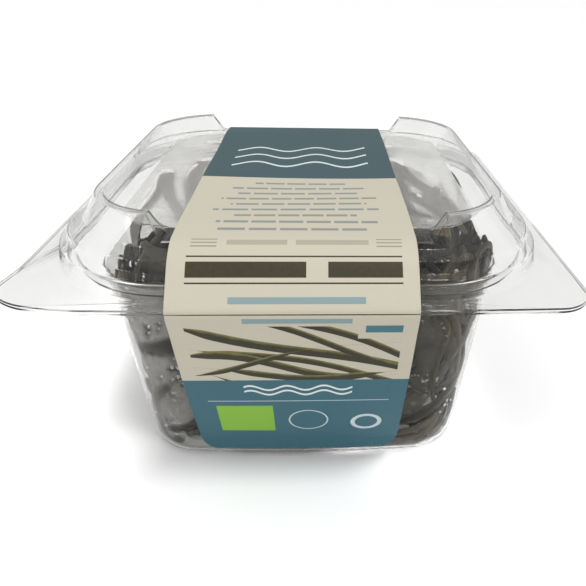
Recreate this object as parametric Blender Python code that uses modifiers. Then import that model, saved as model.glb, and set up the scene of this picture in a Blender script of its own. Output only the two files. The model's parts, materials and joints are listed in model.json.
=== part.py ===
"""A clear hinged tub packed with salted sea spaghetti, with a paper band over its lid.

Metres, +Z up, the front faces -Y. The origin lies on the surface the tub stands on, below
the middle of its flange.
"""
import math
import random

import bmesh
import bpy
from mathutils import Matrix, Vector
from mathutils.geometry import intersect_point_line

# Sheet and clearances
SHEET = 0.0005
GAP = 0.00035
PAPER = 0.0003

# Flange: the tub's and the lid's share one outline
FLANGE_HALF_WIDTH = 0.070
FLANGE_FRONT = -0.0645
FLANGE_BACK = 0.06535
FLANGE_CORNER = 0.009
FLANGE_BOW = 0.00125
TUB_FLANGE_UNDER = 0.0622
LID_FLANGE_TOP = TUB_FLANGE_UNDER + 2 * SHEET + GAP

# Plan of the lid's raised rim, from which the steps below it are offset
RIM_HALF_WIDTH = 0.0528
RIM_HALF_DEPTH = 0.05015
RIM_CORNER = 0.021

# Lid heights, and the distance of each edge outside the rim's plan
RIM_TOP = 0.0805
RIM_LAND = 0.0019
RIM_FOOT = 0.0057
PANEL = 0.0749
LID_STEPS = [(0.0113, LID_FLANGE_TOP), (0.0105, 0.0684), (0.0084, 0.0694), (0.0079, 0.0721), (0.0040, 0.07345)]
CHANNEL_FRONT_REACH = 0.0032
CHANNEL_BACK_REACH = 0.0006

# Tub
FOOT = (0.0470, 0.0457, 0.0137)
MOUTH = (0.0540, 0.05135, 0.0222)
FOOT_BOW = 0.0020
FOOT_CURVE = 0.005
MOUTH_Z = 0.0613
LIP_STEPS = [(0.0066, 0.0618), (0.0070, 0.0650), (0.0078, 0.0654), (0.0086, 0.0650), (0.0090, TUB_FLANGE_UNDER)]

# Corner arcs, in degrees: the channel in the lid's rim ends between the first two
ARC = (0, 10, 27, 45, 63, 80, 90)
SIDE_PARTS = 4

# Living hinge along the back edge
HINGE_RADIUS = 0.00035
HINGE_HALF_LENGTH = 0.048
HINGE_Y = FLANGE_BACK + GAP + HINGE_RADIUS
HINGE_Z = TUB_FLANGE_UNDER + SHEET + GAP / 2

# Paper band
BAND_X = -0.001
BAND_HALF_WIDTH = 0.0287
BAND_FOOT = 0.0048
BAND_CORNER = 0.005
BAND_FREE_FROM = 0.009
BAND_COLUMNS = 6
BAND_LIFT = GAP
BAND_BACK_END = 0.0650
BAND_HEIGHTS = (0.048, 0.034, 0.020, 0.0125)
FOLD_Y = FLANGE_FRONT - FLANGE_BOW - GAP
FOLD_Z = HINGE_Z
FOLD_DROP = 0.0006

# Strands: they lie in nested skins, one inside the other, each with its own slant
HEART = Vector((0.0, 0.0, 0.034))
REACH_DOWN = 0.0321
REACH_UP = 0.0382
REACH_ASIDE = 0.046
WALL_CLEAR = 0.0021
MOUND_DRAW_IN = 0.16
MOUND_TOP = 1.3
FOOT_POWER = 7.0
MOUTH_POWER = 5.0
FLOOR_POWER = 7.0
MOUND_POWER = 4.5
SKIN_STEP = 0.098
SKIN_FRONDS = (6, 6, 5, 4, 4, 3)
SLANT_TURN = math.radians(137.5)
FIRST_TURN = math.radians(205)
SKIN_TILTS = (math.radians(34), math.radians(62))
RAY_LENGTH = 0.12
RAY_HALVINGS = 26

# Fronds: width and thickness of a strap, its stations, and the waves it makes, each as how many
# there are to a turn, how far the next skin's are turned, and how far they swing
FROND_SEED = 12
FROND_PITCH = 0.0126
FROND_WIDTH = 0.0047
FROND_THICKNESS = 0.0017
FROND_SHARE = (0.62, 0.9)
STATION = 0.0105
STATION_TURN = math.radians(20)
WAVES = ((3, 1.7, 0.0034), (5, 0.9, 0.0017))

# Fork: where it comes on the frond, how far its limbs part, and widths as shares of the stem's
FORK_SHARE = (0.18, 0.5)
LIMB_SPREAD = 0.0031
LIMB_OPENING = (0.0, 0.62)
LIMB_WIDTH = 0.78
LIMB_FIRST_WIDTH = 0.6
LIMB_SHORTER = 2
STEM_END_WIDTH = 0.55
LIMB_END_WIDTH = 0.4
TAPER_STATIONS = 2

SALT_SEED = 5
SALT_COUNT = 14
SALT_SIZE = (0.0016, 0.0022)
SALT_CLEAR = 0.0047
SALT_RISE = (-0.95, 0.45)


def material(name, colour, roughness, metallic=0.0, alpha=1.0):
    mat = bpy.data.materials.new(name)
    mat.use_nodes = True
    shader = mat.node_tree.nodes["Principled BSDF"]
    shader.inputs["Base Color"].default_value = (*colour, 1.0)
    shader.inputs["Roughness"].default_value = roughness
    shader.inputs["Metallic"].default_value = metallic
    shader.inputs["Alpha"].default_value = alpha
    return mat


def add_object(name, mesh, collection, mat):
    obj = bpy.data.objects.new(name, mesh)
    collection.objects.link(obj)
    if not mesh.materials:
        mesh.materials.append(mat)
    return obj


def add_solidify(obj, thickness, offset):
    shell = obj.modifiers.new("Wall", "SOLIDIFY")
    shell.thickness = thickness
    shell.offset = offset
    shell.use_even_offset = True


def outline(half_width, front, back, corner, bow_front=0.0, bow_sides=0.0, bow_back=0.0):
    """Plan outline with round corners, anticlockwise from the front end of the front right arc."""
    middle_y = (front + back) / 2
    half_depth = (back - front) / 2
    centres = [(1, -1, -90), (1, 1, 0), (-1, 1, 90), (-1, -1, 180)]
    arcs = []
    for sx, sy, start in centres:
        cx = sx * (half_width - corner)
        cy = sy * (half_depth - corner)
        angles = [math.radians(start + a) for a in ARC]
        arcs.append([(cx + corner * math.cos(a), cy + corner * math.sin(a)) for a in angles])
    points = []
    for i, arc in enumerate(arcs):
        points += arc
        x0, y0 = arc[-1]
        x1, y1 = arcs[(i + 1) % 4][0]
        for k in range(1, SIDE_PARTS):
            t = k / SIDE_PARTS
            points.append((x0 + (x1 - x0) * t, y0 + (y1 - y0) * t))
    bowed = []
    for x, y in points:
        across = 1 - (x / half_width) ** 2
        along = 1 - (y / half_depth) ** 2
        bow_y = bow_back if y > 0 else bow_front
        edge_y = (abs(y) / half_depth) ** 4
        edge_x = (abs(x) / half_width) ** 4
        new_x = x + math.copysign(bow_sides * edge_x * along, x)
        new_y = y + middle_y + math.copysign(bow_y * edge_y * across, y)
        bowed.append((new_x, new_y))
    return bowed


def flange_outline():
    return outline(FLANGE_HALF_WIDTH, FLANGE_FRONT, FLANGE_BACK, FLANGE_CORNER, bow_front=FLANGE_BOW)


def rim_outline(reach):
    """The rim's plan, moved out by reach."""
    depth = RIM_HALF_DEPTH + reach
    return outline(RIM_HALF_WIDTH + reach, -depth, depth, RIM_CORNER + reach)


def wall_outline(t, inset=0.0):
    """Plan of the tub's wall, t from 0 at the foot to 1 at the mouth."""
    half_width, half_depth, corner = [a + (b - a) * t - inset for a, b in zip(FOOT, MOUTH)]
    bow = FOOT_BOW * (1 - t)
    return outline(half_width, -half_depth, half_depth, corner, bow, bow, bow)


def bridge(bm, rows):
    """Quads between rings of as many corners each."""
    for low, high in zip(rows, rows[1:]):
        for i, corner in enumerate(low):
            j = (i + 1) % len(low)
            bm.faces.new((corner, low[j], high[j], high[i]))


def loft(name, rings, close_last=False, close_first=False):
    """Open surface through rings of as many points each, with flat ends where asked."""
    bm = bmesh.new()
    rows = [[bm.verts.new(p) for p in ring] for ring in rings]
    bridge(bm, rows)
    if close_first:
        bm.faces.new(list(reversed(rows[0])))
    if close_last:
        bm.faces.new(rows[-1])
    mesh = bpy.data.meshes.new(name)
    bm.to_mesh(mesh)
    bm.free()
    return mesh


def level(points, z):
    return [(x, y, z) for x, y in points]


def make_tub(collection, mat):
    rings = []
    for degrees in (0, 30, 60, 90):
        angle = math.radians(degrees)
        inset = FOOT_CURVE * (1 - math.sin(angle))
        rings.append(level(wall_outline(0.0, inset), FOOT_CURVE * (1 - math.cos(angle))))
    for t in (0.35, 0.7, 1.0):
        rings.append(level(wall_outline(t), FOOT_CURVE + (MOUTH_Z - FOOT_CURVE) * t))
    for reach, z in LIP_STEPS:
        rings.append(level(rim_outline(reach), z))
    rings.append(level(flange_outline(), TUB_FLANGE_UNDER))
    tub = add_object("tub", loft("tub", rings, close_first=True), collection, mat)
    add_solidify(tub, SHEET, -1)
    return tub


def in_channel(x, half_channel):
    slack = 0.0001
    return abs(x) <= half_channel + slack


def make_lid(collection, mat):
    half_channel = RIM_HALF_WIDTH - RIM_CORNER
    rings = [level(flange_outline(), LID_FLANGE_TOP)]
    rings += [level(rim_outline(reach), z) for reach, z in LID_STEPS]
    for reach in (0.0, -RIM_LAND):
        ring = []
        for x, y in rim_outline(reach):
            z = RIM_TOP
            if in_channel(x, half_channel):
                z = PANEL
                if reach == 0.0:
                    y += CHANNEL_BACK_REACH if y > 0 else -CHANNEL_FRONT_REACH
            ring.append((x, y, z))
        rings.append(ring)
    rings.append(level(rim_outline(-RIM_FOOT), PANEL))
    lid = add_object("lid", loft("lid", rings, close_last=True), collection, mat)
    add_solidify(lid, SHEET, -1)
    return lid


def make_hinge(collection, mat):
    bpy.ops.mesh.primitive_cylinder_add(
        vertices=8,
        radius=HINGE_RADIUS,
        depth=2 * HINGE_HALF_LENGTH,
        location=(0, HINGE_Y, HINGE_Z),
        rotation=(0, math.radians(90), 0),
    )
    hinge = bpy.context.active_object
    hinge.name = "hinge"
    for other in list(hinge.users_collection):
        other.objects.unlink(hinge)
    collection.objects.link(hinge)
    hinge.data.materials.append(mat)
    return hinge


def strip(name, rows):
    """Open strip through rows of as many points each."""
    bm = bmesh.new()
    grid = [[bm.verts.new(p) for p in row] for row in rows]
    for low, high in zip(grid, grid[1:]):
        for i in range(len(low) - 1):
            bm.faces.new((low[i], low[i + 1], high[i + 1], high[i]))
    mesh = bpy.data.meshes.new(name)
    bm.to_mesh(mesh)
    bm.free()
    return mesh


def band_row(y, z, half_width):
    step = 2 * half_width / BAND_COLUMNS
    return [(BAND_X - half_width + step * i, y, z) for i in range(BAND_COLUMNS + 1)]


def band_top_route():
    """Side view of the band's under face on the lid, from its back end to the fold, as y, z pairs."""
    lift = BAND_LIFT
    foot_reach, _ = LID_STEPS[0]
    corner2_reach, corner2_z = LID_STEPS[1]
    corner1_reach, corner1_z = LID_STEPS[3]
    return [
        (RIM_HALF_DEPTH + foot_reach + lift, BAND_BACK_END),
        (RIM_HALF_DEPTH + corner2_reach + lift, corner2_z + lift / 2),
        (RIM_HALF_DEPTH + corner1_reach + lift / 2, corner1_z + lift),
        (RIM_HALF_DEPTH + CHANNEL_BACK_REACH + lift / 2, PANEL + lift),
        (0.0, PANEL + lift),
        (-RIM_HALF_DEPTH - CHANNEL_FRONT_REACH, PANEL + lift),
        (-RIM_HALF_DEPTH - corner1_reach - lift / 2, corner1_z + lift),
        (FOLD_Y, LID_FLANGE_TOP + lift),
        (FOLD_Y, FOLD_Z + GAP / 2),
    ]


def make_band_top(collection, mat):
    rows = [band_row(y, z, BAND_HALF_WIDTH) for y, z in band_top_route()]
    band = add_object("band_top", strip("band_top", rows), collection, mat)
    add_solidify(band, PAPER, -1)
    return band


def wall_front(x, z):
    """How far the tub's front wall stands before the middle at x and z."""
    t = max(0.0, (z - FOOT_CURVE) / (MOUTH_Z - FOOT_CURVE))
    half_depth = FOOT[1] + (MOUTH[1] - FOOT[1]) * t
    return half_depth + FOOT_BOW * (1 - t) * (1 - (x / FOOT[0]) ** 2)


def band_front_y(x, z):
    """Back face of the hanging band: on the wall low down, then straight out to the flange's edge."""
    rise = max(0.0, (z - BAND_FREE_FROM) / (FOLD_Z - BAND_FREE_FROM))
    on_wall = -wall_front(x, z) - GAP
    return on_wall + (FOLD_Y - on_wall) * rise


def make_band_front(collection, mat):
    heights = (FOLD_Z - GAP / 2, TUB_FLANGE_UNDER - FOLD_DROP, *BAND_HEIGHTS)
    rows = [band_row(0.0, z, BAND_HALF_WIDTH) for z in heights]
    for degrees in (0, 45, 90):
        angle = math.radians(degrees)
        half_width = BAND_HALF_WIDTH - BAND_CORNER * (1 - math.cos(angle))
        rows.append(band_row(0.0, BAND_FOOT + BAND_CORNER * (1 - math.sin(angle)), half_width))
    rows = [[(x, band_front_y(x, z), z) for x, _, z in row] for row in rows]
    rows[1] = [(x, FOLD_Y, z) for x, _, z in rows[1]]
    band = add_object("band_front", strip("band_front", rows), collection, mat)
    add_solidify(band, PAPER, -1)
    return band


def open_plan(z):
    """Half width, half depth and squareness of the room for strands at height z."""
    t = min(1.0, max(0.0, (z - FOOT_CURVE) / (MOUTH_Z - FOOT_CURVE)))
    rise = max(0.0, (z - HEART.z) / REACH_UP)
    draw_in = 1 - MOUND_DRAW_IN * min(rise, MOUND_TOP) ** 3
    half_width = FOOT[0] + (MOUTH[0] - FOOT[0]) * t - SHEET - WALL_CLEAR
    half_depth = FOOT[1] + (MOUTH[1] - FOOT[1]) * t - SHEET - WALL_CLEAR
    return half_width * draw_in, half_depth * draw_in, FOOT_POWER + (MOUTH_POWER - FOOT_POWER) * t


def skin_level(p):
    """0 at the heart of the tangle, 1 on its outermost skin."""
    half_width, half_depth, plan_power = open_plan(p.z)
    rise = p.z - HEART.z
    reach, power = (REACH_UP, MOUND_POWER) if rise > 0 else (REACH_DOWN, FLOOR_POWER)
    plan = (abs(p.x) / half_width) ** plan_power + (abs(p.y) / half_depth) ** plan_power
    return (plan ** (power / plan_power) + (abs(rise) / reach) ** power) ** (1 / power)


def skin_normal(p):
    step = 0.0002
    slope = []
    for axis in range(3):
        shift = Vector((0, 0, 0))
        shift[axis] = step
        slope.append(skin_level(p + shift) - skin_level(p - shift))
    return Vector(slope).normalized()


def slant(skin):
    """Axis round which the strands of a skin run, and two directions square to it."""
    tilt = SKIN_TILTS[skin % len(SKIN_TILTS)]
    turn = FIRST_TURN + SLANT_TURN * skin
    axis = Vector((math.sin(tilt) * math.cos(turn), math.sin(tilt) * math.sin(turn), math.cos(tilt)))
    first = axis.orthogonal().normalized()
    return axis, first, axis.cross(first)


def strand_centre(axis, along):
    """Point inside the skins that lies along metres from the heart, measured along the axis."""
    lean = Vector((axis.x * REACH_ASIDE ** 2, axis.y * REACH_ASIDE ** 2, axis.z * REACH_DOWN ** 2))
    return HEART + lean * (along / lean.dot(axis))


def skin_point(start, direction, target):
    """Where a ray from inside the tangle reaches a skin level."""
    low, high = 0.0, RAY_LENGTH
    for _ in range(RAY_HALVINGS):
        middle = (low + high) / 2
        if skin_level(start + direction * middle) < target:
            low = middle
        else:
            high = middle
    return start + direction * low


def on_skin(skin, along, theta):
    """Point of a skin at angle theta round its slant axis, along metres from the heart along the axis."""
    axis, first, second = slant(skin)
    level = 1 - SKIN_STEP * skin
    room = 1 - (along / (REACH_ASIDE * level)) ** 2
    sway = room * sum(swing * math.sin(count * theta + turn * skin) for count, turn, swing in WAVES)
    direction = first * math.cos(theta) + second * math.sin(theta)
    return skin_point(strand_centre(axis, along + sway), direction, level)


def station_angles(skin, along, start, end):
    """Angles of a strand's stations, closer together where it turns."""
    fine = math.radians(1.5)
    angles = [start]
    theta, here = start, on_skin(skin, along, start)
    since, turned, heading = 0.0, 0.0, None
    while theta < end:
        theta += fine
        there = on_skin(skin, along, theta)
        run = there - here
        if heading is not None:
            turned += heading.angle(run)
        heading, here = run, there
        since += run.length
        if since >= STATION or turned >= STATION_TURN:
            angles.append(theta)
            since, turned = 0.0, 0.0
    return angles


def smooth(t):
    t = min(1.0, max(0.0, t))
    return t * t * (3 - 2 * t)


def taper(stations_left, end_width):
    """Share of the full width that is left this many stations from an end."""
    return end_width + (1 - end_width) * smooth(stations_left / TAPER_STATIONS)


def sections(route, widths):
    """Flat four-cornered sections along a route, lying on the skins: right and left low, left and right high."""
    rings = []
    for i, p in enumerate(route):
        ahead = route[min(i + 1, len(route) - 1)]
        behind = route[max(i - 1, 0)]
        run = (ahead - behind).normalized()
        across = run.cross(skin_normal(p)).normalized()
        high = across.cross(run) * (FROND_THICKNESS / 2)
        side = across * (widths[i] / 2)
        rings.append([p + side - high, p - side - high, p - side + high, p + side + high])
    return rings


def limb_sections(skin, along, angles, side, width):
    """Sections of a limb after the fork, where it starts as half the stem."""
    route, widths = [], []
    for i, theta in enumerate(angles):
        opening = LIMB_OPENING[i] if i < len(LIMB_OPENING) else 1.0
        route.append(on_skin(skin, along + side * LIMB_SPREAD * opening, theta))
        share = LIMB_FIRST_WIDTH if i < len(LIMB_OPENING) else LIMB_WIDTH
        widths.append(width * share * taper(len(angles) - 1 - i, LIMB_END_WIDTH))
    return sections(route, widths)[1:]


def forked_strap(name, stem, left, right):
    """Closed strap whose stem forks into two limbs, from the sections of all three."""
    bm = bmesh.new()
    rows = [[bm.verts.new(p) for p in section] for section in stem]
    bm.faces.new(list(reversed(rows[0])))
    bridge(bm, rows)
    right_low, left_low, left_high, right_high = rows[-1]
    _, middle_low = bmesh.utils.edge_split(bm.edges.get((right_low, left_low)), right_low, 0.5)
    _, middle_high = bmesh.utils.edge_split(bm.edges.get((right_high, left_high)), right_high, 0.5)
    left_start = [middle_low, left_low, left_high, middle_high]
    right_start = [right_low, middle_low, middle_high, right_high]
    for start, limb in ((left_start, left), (right_start, right)):
        rows = [start] + [[bm.verts.new(p) for p in section] for section in limb]
        bridge(bm, rows)
        bm.faces.new(rows[-1])
    mesh = bpy.data.meshes.new(name)
    bm.to_mesh(mesh)
    bm.free()
    return mesh


def make_fronds(collection, mat):
    """Every frond. Returns the straight runs of their stems and limbs."""
    draw = random.Random(FROND_SEED)
    runs = []
    number = 0
    for skin, count in enumerate(SKIN_FRONDS):
        for k in range(count):
            number += 1
            along = (k - (count - 1) / 2) * FROND_PITCH
            start = draw.uniform(0, 2 * math.pi)
            end = start + 2 * math.pi * draw.uniform(*FROND_SHARE)
            width = FROND_WIDTH * draw.uniform(0.88, 1.12)
            angles = station_angles(skin, along, start, end)
            fork = max(TAPER_STATIONS, round(draw.uniform(*FORK_SHARE) * len(angles)))
            stem_route = [on_skin(skin, along, theta) for theta in angles[:fork + 1]]
            stem_widths = [width * taper(i, STEM_END_WIDTH) for i in range(fork + 1)]
            stem = sections(stem_route, stem_widths)
            left = limb_sections(skin, along, angles[fork:], 1, width)
            right = limb_sections(skin, along, angles[fork:-LIMB_SHORTER], -1, width)
            name = f"frond_{number:02d}"
            add_object(name, forked_strap(name, stem, left, right), collection, mat)
            for rings in (stem, left, right):
                middles = [sum(ring, Vector()) / len(ring) for ring in rings]
                runs += zip(middles, middles[1:])
    return runs


def distance_to_run(p, run):
    nearest, share = intersect_point_line(p, *run)
    if share < 0:
        nearest = run[0]
    elif share > 1:
        nearest = run[1]
    return (p - nearest).length


def make_salt(collection, mat, runs):
    """Coarse salt grains that lie against the inside of the wall, clear of the fronds."""
    draw = random.Random(SALT_SEED)
    placed = []
    while len(placed) < SALT_COUNT:
        turn = draw.uniform(0, 2 * math.pi)
        height = draw.uniform(*SALT_RISE)
        direction = Vector((math.cos(turn), math.sin(turn), height)).normalized()
        p = skin_point(HEART, direction, 1.0)
        size = draw.uniform(*SALT_SIZE)
        spin = Matrix.Rotation(draw.uniform(0, math.pi), 4, direction)
        if any(distance_to_run(p, run) < SALT_CLEAR for run in runs):
            continue
        if any((p - q).length < 2 * SALT_CLEAR for q in placed):
            continue
        placed.append(p)
        bm = bmesh.new()
        bmesh.ops.create_cube(bm, size=size)
        mesh = bpy.data.meshes.new("salt")
        bm.to_mesh(mesh)
        bm.free()
        grain = add_object(f"salt_{len(placed):02d}", mesh, collection, mat)
        grain.matrix_world = Matrix.Translation(p) @ spin @ direction.to_track_quat("Z", "Y").to_matrix().to_4x4()


def hang_from(parent, children):
    for child in children:
        child.parent = parent
        child.matrix_parent_inverse = parent.matrix_world.inverted()


def main():
    for obj in list(bpy.data.objects):
        bpy.data.objects.remove(obj)
    collection = bpy.data.collections.new("sea_spaghetti_tub")
    bpy.context.scene.collection.children.link(collection)
    clear = material("clear_sheet", (0.86, 0.88, 0.88), 0.06, alpha=0.3)
    paper = material("band_paper", (0.66, 0.61, 0.50), 0.55)
    weed = material("seaweed", (0.055, 0.055, 0.035), 0.35)
    salt = material("salt", (0.85, 0.86, 0.86), 0.3)
    make_tub(collection, clear)
    make_hinge(collection, clear)
    lid = make_lid(collection, clear)
    band_top = make_band_top(collection, paper)
    make_band_front(collection, paper)
    make_salt(collection, salt, make_fronds(collection, weed))
    axis = bpy.data.objects.new("lid_axis", None)
    axis.location = (0, HINGE_Y, HINGE_Z)
    collection.objects.link(axis)
    bpy.context.view_layer.update()
    hang_from(axis, [lid, band_top])


main()
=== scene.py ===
import json
import math
import random

import bmesh
import bpy
from mathutils import Matrix, Vector, noise
from mathutils.bvhtree import BVHTree

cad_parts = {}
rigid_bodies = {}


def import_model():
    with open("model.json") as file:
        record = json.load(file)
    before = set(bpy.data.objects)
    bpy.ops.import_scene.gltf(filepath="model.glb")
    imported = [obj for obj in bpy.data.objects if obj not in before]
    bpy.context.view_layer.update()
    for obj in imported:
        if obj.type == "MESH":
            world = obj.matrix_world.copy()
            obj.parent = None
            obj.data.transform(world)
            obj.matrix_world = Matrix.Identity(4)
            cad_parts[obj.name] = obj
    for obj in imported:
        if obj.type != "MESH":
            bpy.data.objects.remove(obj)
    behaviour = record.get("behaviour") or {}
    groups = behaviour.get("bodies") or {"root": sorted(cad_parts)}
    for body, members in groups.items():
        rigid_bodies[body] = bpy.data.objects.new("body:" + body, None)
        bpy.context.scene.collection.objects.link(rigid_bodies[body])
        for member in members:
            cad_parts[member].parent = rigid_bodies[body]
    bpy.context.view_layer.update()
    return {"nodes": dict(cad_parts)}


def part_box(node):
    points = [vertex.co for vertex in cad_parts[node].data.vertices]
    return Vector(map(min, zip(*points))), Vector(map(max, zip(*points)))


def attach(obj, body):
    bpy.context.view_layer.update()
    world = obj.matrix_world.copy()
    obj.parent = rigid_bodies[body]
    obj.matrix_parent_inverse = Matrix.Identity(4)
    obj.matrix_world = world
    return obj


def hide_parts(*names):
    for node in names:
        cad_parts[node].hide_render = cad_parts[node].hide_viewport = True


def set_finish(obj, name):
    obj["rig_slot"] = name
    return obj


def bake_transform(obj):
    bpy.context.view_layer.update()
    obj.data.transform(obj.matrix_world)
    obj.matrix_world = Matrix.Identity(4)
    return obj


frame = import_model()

# Looks of a clear hinged tub packed with salted sea spaghetti, with a paper band over its lid.
# Metres, +Z up, the front faces -Y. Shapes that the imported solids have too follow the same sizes.

bl_info = {
    "name": "Sea spaghetti tub",
    "version": (1, 0, 0),
    "blender": (4, 5, 0),
    "location": "View3D > Sidebar > Tub",
    "description": "Builds the finished looks of a clear tub of sea spaghetti round its packed solids",
    "category": "Object",
}

# Sheet, flange, rim and steps of the tub and its lid
SHEET = 0.0005
GAP = 0.00035
FLANGE_HALF_WIDTH = 0.070
FLANGE_FRONT = -0.0645
FLANGE_BACK = 0.06535
FLANGE_CORNER = 0.009
FLANGE_BOW = 0.00125
TUB_FLANGE_UNDER = 0.0622
LID_FLANGE_TOP = TUB_FLANGE_UNDER + 2 * SHEET + GAP
RIM_HALF_WIDTH = 0.0528
RIM_HALF_DEPTH = 0.05015
RIM_CORNER = 0.021
RIM_TOP = 0.0805
RIM_LAND = 0.0019
RIM_FOOT = 0.0057
PANEL = 0.0749
PANEL_DIP = 0.00022
LID_STEPS = (
    (0.0113, LID_FLANGE_TOP), (0.0105, 0.0684), (0.0084, 0.0694), (0.0079, 0.0721), (0.0040, 0.07345),
)
CHANNEL_FRONT_REACH = 0.0032
CHANNEL_BACK_REACH = 0.0006
CHANNEL_SLOPE = math.radians(10)
FOOT = (0.0470, 0.0457, 0.0137)
MOUTH = (0.0540, 0.05135, 0.0222)
FOOT_BOW = 0.0020
FOOT_CURVE = 0.005
MOUTH_Z = 0.0613
LIP_STEPS = (
    (0.0066, 0.0618), (0.0070, 0.0650), (0.0078, 0.0654), (0.0086, 0.0650), (0.0090, TUB_FLANGE_UNDER),
)
ARC = (0, 1.3, 3.3, 5, 6.7, 8.7, 10, 13, 17, 22, 27, 32, 37, 42, 47, 52, 57, 62, 67, 72, 77, 81, 85, 90)
SIDE_PARTS = 20
CREASE = 0.0006

# How much the clear sheet bends light, less in the tub's wet wall, and how much milkier the lid is
SHEET_IOR = 1.22
TUB_IOR = 1.13
LID_MILKY = 4

# Where the front left corner of the flange starts to bend up, and over what length, in x and in y
LIFT_START = (0.052, 0.040)
LIFT_LENGTH = (0.018, 0.026)

# Hinge sheet
HINGE_RADIUS = 0.00035
HINGE_HALF_LENGTH = 0.048
HINGE_THICKNESS = 0.00016
HINGE_LAP = 0.0003
HINGE_Z = TUB_FLANGE_UNDER + SHEET + GAP / 2

# Paper band. Its print coordinate along the band is PRINT_SCALE at a metre from the back end.
PAPER = 0.00026
PRINT_SCALE = 5
BAND_COLUMNS = 41
BAND_CREASE = 0.0022
BAND_STEP = 0.0011
BAND_X = -0.001
BAND_HALF_WIDTH = 0.0287
BAND_FOOT = 0.0048
BAND_CORNER = 0.005
BAND_FREE_FROM = 0.009
BAND_BACK_END = 0.0650
BAND_FREE_TOP = 0.0566

# Distance along the band from where to where it lies on the panel, and where its lift there fades
PANEL_STRETCH = (0.017, 0.119)
PANEL_FADE = 0.01

# Fold between the two parts of the band
FOLD_Y = FLANGE_FRONT - FLANGE_BOW - GAP
FOLD_Z = HINGE_Z

# Nested skins on which the fronds lie
HEART = Vector((0.0, 0.0, 0.034))
REACH_DOWN = 0.0321
REACH_UP = 0.0382
REACH_ASIDE = 0.046
WALL_CLEAR = 0.0021
MOUND_DRAW_IN = 0.16
MOUND_TOP = 1.3
FOOT_POWER = 7.0
MOUTH_POWER = 5.0
FLOOR_POWER = 7.0
MOUND_POWER = 4.5
SKIN_STEP = 0.098
SKIN_FRONDS = (6, 6, 5, 4, 4, 3)
SLANT_TURN = math.radians(137.5)
FIRST_TURN = math.radians(205)
SKIN_TILTS = (math.radians(34), math.radians(62))
RAY_LENGTH = 0.12
RAY_HALVINGS = 20
FROND_SEED = 12
FROND_PITCH = 0.0126
FROND_WIDTH = 0.0047
FROND_THICKNESS = 0.0017
FROND_SHARE = (0.62, 0.9)
FROND_SHADES = (1.0, 1.45, 0.7)
STATION = 0.0105
STATION_TURN = math.radians(20)
WAVES = ((3, 1.7, 0.0034), (5, 0.9, 0.0017))
FORK_SHARE = (0.18, 0.5)
LIMB_SPREAD = 0.0031
LIMB_OPENING = (0.0, 0.62)
LIMB_WIDTH = 0.78
LIMB_FIRST_WIDTH = 0.6
LIMB_SHORTER = 2
STEM_END_WIDTH = 0.55
LIMB_END_WIDTH = 0.4
TAPER_STATIONS = 2
STATION_PARTS = 3
FROND_RIPPLE = 0.012


# Shader values as plain Python expressions

def operator(operation, reflected=False):
    """Method of Value that adds a Math node, with the value itself as first or last operand."""
    def method(self, *others):
        return self.finish.math(operation, *((*others, self) if reflected else (self, *others)))
    return method


class Value:
    """A number on a shader socket. Arithmetic on it adds the Math nodes that work it out."""

    def __init__(self, finish, socket):
        self.finish = finish
        self.socket = socket

    __add__ = __radd__ = operator("ADD")
    __mul__ = __rmul__ = operator("MULTIPLY")
    __sub__, __rsub__ = operator("SUBTRACT"), operator("SUBTRACT", True)
    __truediv__, __rtruediv__ = operator("DIVIDE"), operator("DIVIDE", True)
    __lt__, __gt__ = operator("LESS_THAN"), operator("GREATER_THAN")
    __pow__, __rpow__ = operator("POWER"), operator("POWER", True)
    __abs__ = operator("ABSOLUTE")


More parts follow.
